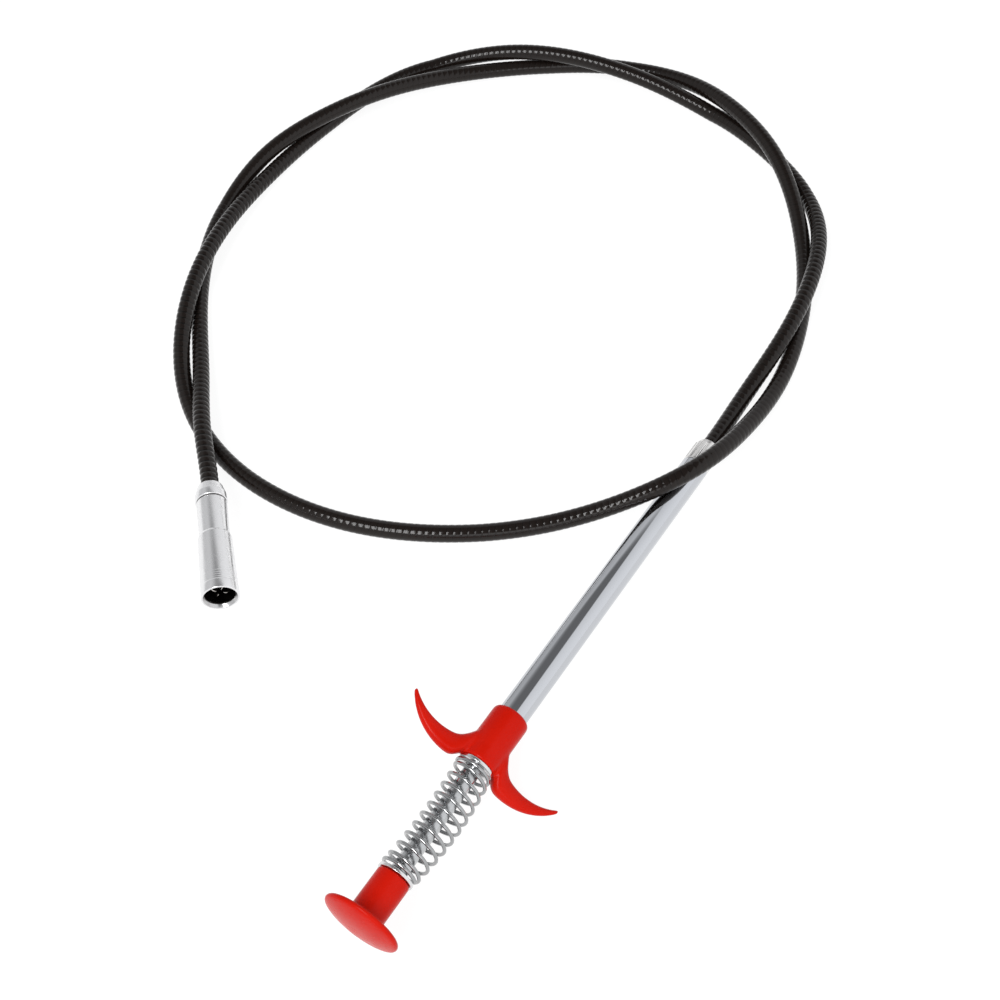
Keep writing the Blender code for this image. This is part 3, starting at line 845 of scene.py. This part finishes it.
def make_claws():
    """Hooked spring wires: each runs out of the hub, spreads and turns back in to a ground point."""
    hook = np.array([
        (HUB_END + GAP, CLAW_ROOT_R), (25.5 * MM, CLAW_ROOT_R), (29 * MM, 1.6 * MM), (35 * MM, 2.0 * MM),
        (40 * MM, 2.7 * MM), (43.2 * MM, 3.25 * MM), (45.0 * MM, 3.1 * MM), (45.9 * MM, 2.3 * MM),
        (46.0 * MM, 1.3 * MM)])
    flat = np.stack([hook[:, 1], hook[:, 0], np.zeros(len(hook))], axis=1)
    line = natural_spline(flat, CLAW_STEPS)
    made = []
    for number in range(CLAW_COUNT):
        turn = np.array(Matrix.Rotation(math.tau * (number + 0.5) / CLAW_COUNT, 3, "Y"))
        data = mesh_from(swept(line @ turn.T, claw_radius, 12))
        node = f"claw_{number + 1}"
        made.append(add_piece(node + "_wire", data, SOCKET, node, node, CLAW_STEEL))
    return made


# ---------------------------------------------------------------- stage, light and camera

def make_floor():
    """A pale floor that glows a little, so that it stays clean under the soft light."""
    mesh = bmesh.new()
    bmesh.ops.create_grid(mesh, x_segments=1, y_segments=1, size=FLOOR_HALF_SIDE)
    floor = bpy.data.objects.new("floor", mesh_from(mesh))
    bpy.context.scene.collection.objects.link(floor)
    made, shader = new_material("pale_floor", (FLOOR_GREY,) * 3, 0, 0.9)
    shader.inputs["Specular IOR Level"].default_value = 0.0
    shader.inputs["Emission Color"].default_value = (1, 1, 1, 1)
    shader.inputs["Emission Strength"].default_value = FLOOR_GLOW
    floor.data.materials.append(made)


def add_area(name, spot, target, size, energy, tall):
    """A soft box facing the target, with its second side along the tall direction."""
    light = bpy.data.lights.new(name, "AREA")
    light.shape = "RECTANGLE"
    light.size, light.size_y = size
    light.energy = energy
    made = bpy.data.objects.new(name, light)
    back = (Vector(spot) - Vector(target)).normalized()
    up = Vector(tall)
    up = (up - back * up.dot(back)).normalized()
    turn = Matrix((up.cross(back), up, back)).transposed()
    made.matrix_world = Matrix.Translation(spot) @ turn.to_4x4()
    bpy.context.scene.collection.objects.link(made)


def world_math(tree, operation, *inputs):
    """A math node fed with other nodes' outputs or plain numbers."""
    made = tree.nodes.new("ShaderNodeMath")
    made.operation = operation
    for into, value in zip(made.inputs, inputs):
        if isinstance(value, (int, float)):
            into.default_value = value
        else:
            tree.links.new(value, into)
    return made.outputs[0]


def make_world():
    """A soft white surround, brighter from +X, with a dim opening in its ceiling."""
    world = bpy.data.worlds.new("studio")
    bpy.context.scene.world = world
    world.use_nodes = True
    tree = world.node_tree
    background = tree.nodes["Background"]
    place = tree.nodes.new("ShaderNodeTexCoord")
    parts = tree.nodes.new("ShaderNodeSeparateXYZ")
    tree.links.new(place.outputs["Generated"], parts.inputs[0])
    height = world_math(tree, "MAXIMUM", parts.outputs["Z"], 0.02)
    deep = world_math(tree, "DIVIDE", parts.outputs["Y"], height)
    shear = world_math(tree, "MULTIPLY_ADD", deep, OPENING_SHEAR, OPENING_SHIFT)
    wide = world_math(tree, "ADD", world_math(tree, "DIVIDE", parts.outputs["X"], height), shear)
    across = {"x": wide, "y": deep}
    mask = 1.0
    for axis, low, high, falling in OPENING:
        ramp = tree.nodes.new("ShaderNodeMapRange")
        ramp.interpolation_type = "SMOOTHSTEP"
        ramp.inputs["From Min"].default_value = low
        ramp.inputs["From Max"].default_value = high
        ramp.inputs["To Min"].default_value = 1.0 if falling else 0.0
        ramp.inputs["To Max"].default_value = 0.0 if falling else 1.0
        tree.links.new(across[axis], ramp.inputs["Value"])
        mask = world_math(tree, "MULTIPLY", ramp.outputs["Result"], mask)
    sides = world_math(tree, "MULTIPLY_ADD", parts.outputs["X"], SIDE_GAIN, CEILING_BRIGHT)
    lit = world_math(tree, "MULTIPLY", sides, world_math(tree, "SUBTRACT", 1.0, mask))
    strength = world_math(tree, "MULTIPLY_ADD", mask, CEILING_DARK, lit)
    background.inputs["Color"].default_value = (*SURROUND_COLOUR, 1)
    tree.links.new(strength, background.inputs["Strength"])


def make_lights():
    for box in SOFT_BOXES:
        add_area(*box)


def make_camera():
    camera = bpy.data.objects.new("camera", bpy.data.cameras.new("camera"))
    camera.data.lens = CAMERA_LENS
    camera.data.sensor_width = CAMERA_SENSOR
    camera.data.clip_start = 0.01
    camera.data.clip_end = 20
    turn = Matrix.Rotation(CAMERA_AZIMUTH, 4, "Z") @ Matrix.Rotation(math.pi / 2 - CAMERA_ELEVATION, 4, "X")
    camera.matrix_world = Matrix.Translation(CAMERA_SPOT) @ turn @ Matrix.Rotation(CAMERA_ROLL, 4, "Z")
    bpy.context.scene.collection.objects.link(camera)
    bpy.context.scene.camera = camera


make_camera()
hose, hose_path, hose_length = make_hose()
tip_pieces = [make_socket(), make_hub(), *make_claws()]
make_button()
make_washers()
make_rod()
make_spring()
make_grip()
make_tube()
make_ferrule()
for node, material in KEPT_NODES.items():
    slots = frame["nodes"][node].data.materials
    slots.clear()
    slots.append(material)
make_floor()
make_world()
make_lights()
bpy.context.scene.view_settings.view_transform = "Standard"
